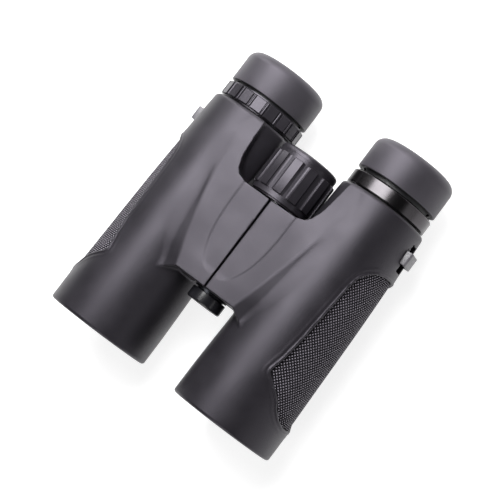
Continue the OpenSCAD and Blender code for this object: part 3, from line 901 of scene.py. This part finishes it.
RIGHT_AXIS = (BARREL_X, BARREL_Z)
LEFT_AXIS = (-BARREL_X, BARREL_Z)
AXES = {"left": LEFT_AXIS, "right": RIGHT_AXIS}
HINGE_AXIS = (0, HINGE_Z)


def lens_profile(r, y0, y1, bulge0, bulge1, n=16):
    """Lens from y0 to y1 at the rim, whose faces bulge outwards."""
    front = [(r * i / n, y0 - bulge0 * (1 - (i / n) ** 2)) for i in range(n + 1)]
    back = [(r * i / n, y1 + bulge1 * (1 - (i / n) ** 2)) for i in range(n, -1, -1)]
    return front + back


# Eyecup: seat on its core, hole for the eye, depth of its top, and the radii of its rounded edges
CUP_SEAT_R = 19.25
CUP_HOLE_R = 12.95
CUP_TOP_DEPTH = 4.15
CUP_FOOT_ROUND = 0.45
CUP_SHOULDER_ROUND = 4.8
CUP_LIP_ROUND = 1.9
CUP_LIP_R = 14.9
EYE_LENS_BULGE = 1.6
TRIM_BORE_R = 16.65
DIOPTRE_BORE_R = 16.95


def build_eyepieces():
    """Rubber eyecups and the eye lenses inside them."""
    y0, y1 = CUP_LOW[1], CUP_HIGH[1]
    cup = [(CUP_SEAT_R, y0), (CUP_R - CUP_FOOT_ROUND, y0)]
    cup += arc(CUP_R - CUP_FOOT_ROUND, y0 + CUP_FOOT_ROUND, CUP_FOOT_ROUND, -90, 0, 4)
    cup += arc(CUP_R - CUP_SHOULDER_ROUND, y1 - CUP_SHOULDER_ROUND, CUP_SHOULDER_ROUND, 0, 90, 16)
    cup += arc(CUP_LIP_R, y1 - CUP_LIP_ROUND, CUP_LIP_ROUND, 90, 180, 8)
    cup += [(CUP_HOLE_R, y1 - 3), (CUP_HOLE_R, y1 - CUP_TOP_DEPTH), (CUP_SEAT_R, y1 - CUP_TOP_DEPTH)]
    for side, axis in AXES.items():
        place(lathe(f"{side}_eyecup", cup, axis, sharp=50), "eyecup", f"{side}_eyecup_rubber")
        low, high = box_mm(f"{side}_eye_lens")
        r = (high[0] - low[0]) / 2
        bulge = EYE_LENS_BULGE
        shape = lens_profile(r, low[1] + bulge, high[1] - bulge, bulge, bulge)
        lens = lathe(f"{side}_eye_glass", shape, axis, segments=96, sharp=40)
        place(lens, "glass", f"{side}_eye_lens")


def build_trim_ring():
    """Polished plain ring under the right eyecup."""
    r = (TRIM_HIGH[0] - TRIM_LOW[0]) / 2
    y0, y1 = TRIM_LOW[1], TRIM_HIGH[1]
    shape = [(TRIM_BORE_R, y0), (r - 0.3, y0), (r, y0 + 0.3), (r, y1 - 0.75), (r - 0.42, y1 - 0.22)]
    shape += [(r - 0.75, y1), (TRIM_BORE_R, y1)]
    place(lathe("right_eyepiece_ring", shape, RIGHT_AXIS, sharp=18), "trim", "right_trim_ring")


def build_dioptre_ring():
    """Dioptre ring: 18 flat pads with a rounded rib in the groove between each pair."""
    r = (RING_HIGH[2] - RING_LOW[2]) / 2
    y0, y1 = RING_LOW[1], RING_HIGH[1]
    count, period, phase = 18, 20, 12
    pad, groove, middle = 6.5, 8.2, 10
    depth, rib_half, rib_height = 0.85, 1.8, 0.72
    flat = r * math.cos(math.radians(pad))
    points = [(a, flat / math.cos(math.radians(a))) for a in (-pad, -pad / 2, 0, pad / 2, pad)]
    points += [(pad + 0.12, r - depth), (groove, r - depth)]
    for c in (0.999, 0.8, 0.4, 0, -0.4, -0.8, -0.999):
        points.append((middle - rib_half * c, r - depth + rib_height * math.sqrt(1 - c * c)))
    points += [(period - groove, r - depth), (period - pad - 0.12, r - depth)]
    outline = repeated_outline(period, count, phase, points, r - 0.9)
    shape = [(DIOPTRE_BORE_R, y0), (r - 1.9, y0), (r - 1.9, y0 + 0.3), (r - 0.95, y0 + 0.35)]
    shape += [(r - 0.3, y0 + 0.45), (r, y0 + 0.75), (r, y1 - 1.0), (r - 0.3, y1 - 0.7), (r - 0.95, y1 - 0.6)]
    shape += [(r - 1.9, y1 - 0.55), (r - 1.9, y1), (DIOPTRE_BORE_R, y1)]
    place(lathe("dioptre_grip_ring", shape, LEFT_AXIS, outline, sharp=26), "dioptre", "dioptre_ring")


build_eyepieces()
build_trim_ring()
build_dioptre_ring()

# ---------------------------------------------------------------- focus wheel

WHEEL_BORE_R = 12.65


def build_focus_wheel():
    """Focus wheel: 12 flat pads with rounded valleys between them, and the cap in its end."""
    y0 = WHEEL_LOW[1]
    y1 = WHEEL_HIGH[1]
    collar = (WHEEL_CORE_HIGH[2] - WHEEL_CORE_LOW[2]) / 2
    band_end = y1 - 1.6
    count, period, phase = 12, 30, 4
    pad, shoulder = 7.2, 0.25
    rim_drop, valley = 0.5, 1.0
    flat = WHEEL_R * math.cos(math.radians(pad))
    points = [(a, flat / math.cos(math.radians(a))) for a in (-pad, -pad / 2, 0, pad / 2, pad)]
    points.append((pad + shoulder, WHEEL_R - rim_drop))
    for i in range(1, 10):
        t = i / 10
        dip = valley * math.sin(math.pi * t) ** 0.8
        points.append((pad + shoulder + (period - 2 * pad - 2 * shoulder) * t, WHEEL_R - rim_drop - dip))
    points.append((period - pad - shoulder, WHEEL_R - rim_drop))
    outline = repeated_outline(period, count, phase, points, collar)
    shape = [(WHEEL_BORE_R, y0), (collar, y0), (collar, y0 + 0.15), (WHEEL_R - 0.45, y0 + 0.25)]
    shape += [(WHEEL_R - 0.12, y0 + 0.4), (WHEEL_R, y0 + 0.7), (WHEEL_R, band_end - 0.7)]
    shape += [(WHEEL_R - 0.12, band_end - 0.4), (WHEEL_R - 0.45, band_end - 0.25)]
    shape += [(collar, band_end - 0.15), (collar, y1), (WHEEL_BORE_R, y1)]
    place(lathe("focus_wheel_grip", shape, HINGE_AXIS, outline, sharp=28), "wheel", "focus_wheel_tyre")
    low, high = box_mm("focus_wheel_cap")
    cap = [(0, low[1]), (collar - 0.2, low[1]), (collar, low[1] + 0.2)]
    cap += arc(collar - 1.7, high[1] - 1.7, 1.7, 0, 90, 8)[1:]
    cap += [(collar - 3.2, high[1]), (collar - 3.6, high[1] - 0.45), (collar - 4.1, high[1] - 0.45)]
    cap += [(collar - 4.5, high[1] - 0.1), (6, high[1] - 0.25), (0, high[1] - 0.3)]
    place(lathe("focus_wheel_end", cap, HINGE_AXIS, sharp=30), "wheel", "focus_wheel_cap")
    for entry in frame["nodes"]["focus_wheel_core"].material_slots:
        entry.material = MATERIALS["wheel"]


build_focus_wheel()

# ---------------------------------------------------------------- tripod cap, lugs, objectives


def build_tripod_cap():
    """Round cap over the tripod socket, with a dished front."""
    r = (CAP_HIGH[0] - CAP_LOW[0]) / 2
    y0, y1 = CAP_LOW[1], CAP_HIGH[1]
    dish_r, dish_depth, rim_round = 5.2, 0.5, 1.0
    skirt_r, plate, chamfer = 7.2, 1.5, 0.35
    shape = [(0, y0 + dish_depth), (dish_r, y0 + dish_depth), (dish_r + dish_depth, y0)]
    shape += arc(r - rim_round, y0 + rim_round, rim_round, -90, 0, 6)
    shape += [(r, y1 - chamfer), (r - chamfer, y1), (skirt_r, y1), (skirt_r, y0 + plate), (0, y0 + plate)]
    place(lathe("tripod_socket_cap", shape, HINGE_AXIS, segments=128, sharp=30), "cap", "tripod_cap")


def build_lugs():
    """Strap lugs: a bar held off the barrel by two legs."""
    x0, x1 = LUG_LOW[0], LUG_HIGH[0]
    half = (LUG_HIGH[2] - LUG_LOW[2]) / 2
    leg, bar, corner, bevel = 1.3, 1.6, 1.1, 0.28
    outer = [(x0, -half)] + arc(x1 - corner, -half + corner, corner, -90, 0, 4)
    outer += arc(x1 - corner, half - corner, corner, 0, 90, 4) + [(x0, half)]
    inner = [(x0, half - leg), (x1 - bar, half - leg), (x1 - bar, -half + leg), (x0, -half + leg)]
    loop = [(x, z + BARREL_Z) for x, z in outer + inner]
    for side, sign in SIDES.items():
        y0, y1 = LUG_LOW[1], LUG_HIGH[1]
        piece = extruded(f"{side}_lug", [(x * sign, z) for x, z in loop], y0, y1, bevel)
        place(piece, "lug", f"{side}_strap_lug")


def build_objectives():
    """Objective glasses and the stepped rings that hold them."""
    bulge, back_bulge = 1.8, 0.3
    rim, land, step_r, step_y, wall = 0.5, 0.72, 0.4, 0.22, 2.2
    for side, axis in AXES.items():
        low, high = box_mm(f"{side}_objective_lens")
        r = (high[0] - low[0]) / 2
        shape = lens_profile(r, low[1] + bulge, high[1] - back_bulge, bulge, back_bulge, 24)
        lens = lathe(f"{side}_objective_glass", shape, axis, sharp=40)
        place(lens, "glass", f"{side}_objective_lens")
        low, high = box_mm(f"{side}_objective_ring")
        r = (high[0] - low[0]) / 2
        y0, y1 = low[1], high[1]
        ring = [(r, y1), (r, y0), (r - rim, y0)]
        for i in range(4):
            y = y0 + step_y * i
            ring += [(r - rim - step_r * i, y), (r - land - step_r * i, y)]
        ring += [(r - wall, y0 + 1.0), (r - wall, y1)]
        holder = lathe(f"{side}_retaining_ring", ring, axis, sharp=20)
        place(holder, "black_metal", f"{side}_objective_ring")


build_tripod_cap()
build_lugs()
build_objectives()

# ---------------------------------------------------------------- stage, light and camera

# The camera's own axes and its place, in metres
CAMERA_RIGHT = Vector((0.7601, 0.60262, -0.24309))
CAMERA_UP = Vector((-0.55087, 0.79601, 0.25083))
CAMERA_BACK = Vector((0.34465, -0.05674, 0.93701))
CAMERA_PLACE = (0.27426, -0.0481, 0.77586)
CAMERA_LENS = 128.3
OBJECT_MIDDLE = Vector((0, 0, 0.02))
FLOOR_HALF = 4.0
FLOOR_ALBEDO = (0.45, 0.45, 0.45)
FLOOR_GLOW = 0.8
WORLD_GLOW = 0.03

# Soft lights: name, tilt, turn, distance, size and power
SOFTBOXES = [
    ("key", 42, 108, 0.45, 0.34, 4.1),
    ("top_rim", 86, 110, 0.8, 0.4, 3.0),
    ("right_fill", 76, 70, 0.9, 0.5, 3.0),
    ("left_fill", 58, 234, 1.0, 0.6, 3.5),
    ("front_fill", 54, 322, 1.0, 0.5, 0.9),
]


def add_softbox(name, tilt, turn, distance, size, power):
    """Square soft light aimed at the object.

    tilt is its angle from the line to the camera, turn its direction round that line, anticlockwise
    from the picture's right.
    """
    t, a = math.radians(tilt), math.radians(turn)
    way = CAMERA_RIGHT * math.sin(t) * math.cos(a) + CAMERA_UP * math.sin(t) * math.sin(a)
    way += CAMERA_BACK * math.cos(t)
    data = bpy.data.lights.new(name, "AREA")
    data.shape = "SQUARE"
    data.size = size
    data.energy = power
    light = bpy.data.objects.new(name, data)
    light.location = OBJECT_MIDDLE + way * distance
    light.rotation_euler = (-way).to_track_quat("-Z", "Y").to_euler()
    bpy.context.scene.collection.objects.link(light)


def build_stage():
    """White paper floor that glows a little, like paper lit from all round."""
    mesh = bpy.data.meshes.new("floor")
    corners = [(sx * FLOOR_HALF, sy * FLOOR_HALF, 0) for sx, sy in ((-1, -1), (1, -1), (1, 1), (-1, 1))]
    mesh.from_pydata(corners, [], [(0, 1, 2, 3)])
    floor = bpy.data.objects.new("floor", mesh)
    bpy.context.scene.collection.objects.link(floor)
    mat, _, shader = new_material("floor_paper", FLOOR_ALBEDO, 0.8, specular=0.1)
    shader.inputs["Emission Color"].default_value = (1, 1, 1, 1)
    shader.inputs["Emission Strength"].default_value = FLOOR_GLOW
    floor.data.materials.append(mat)


def build_light():
    """Faint white world and the soft lights."""
    world = bpy.data.worlds.new("studio")
    bpy.context.scene.world = world
    world.use_nodes = True
    background = world.node_tree.nodes["Background"]
    background.inputs["Color"].default_value = (1, 1, 1, 1)
    background.inputs["Strength"].default_value = WORLD_GLOW
    for softbox in SOFTBOXES:
        add_softbox(*softbox)


def build_camera():
    """Three-quarter view from above, turned so that the barrels run diagonally."""
    data = bpy.data.cameras.new("camera")
    camera = bpy.data.objects.new("camera", data)
    bpy.context.scene.collection.objects.link(camera)
    turn = Matrix((CAMERA_RIGHT, CAMERA_UP, CAMERA_BACK)).transposed().to_4x4()
    camera.matrix_world = Matrix.Translation(CAMERA_PLACE) @ turn
    data.lens = CAMERA_LENS
    data.sensor_width = 36
    data.clip_end = 20
    bpy.context.scene.camera = camera


build_stage()
build_light()
build_camera()
scene = bpy.context.scene
scene.view_settings.view_transform = "Standard"
scene.view_settings.look = "None"
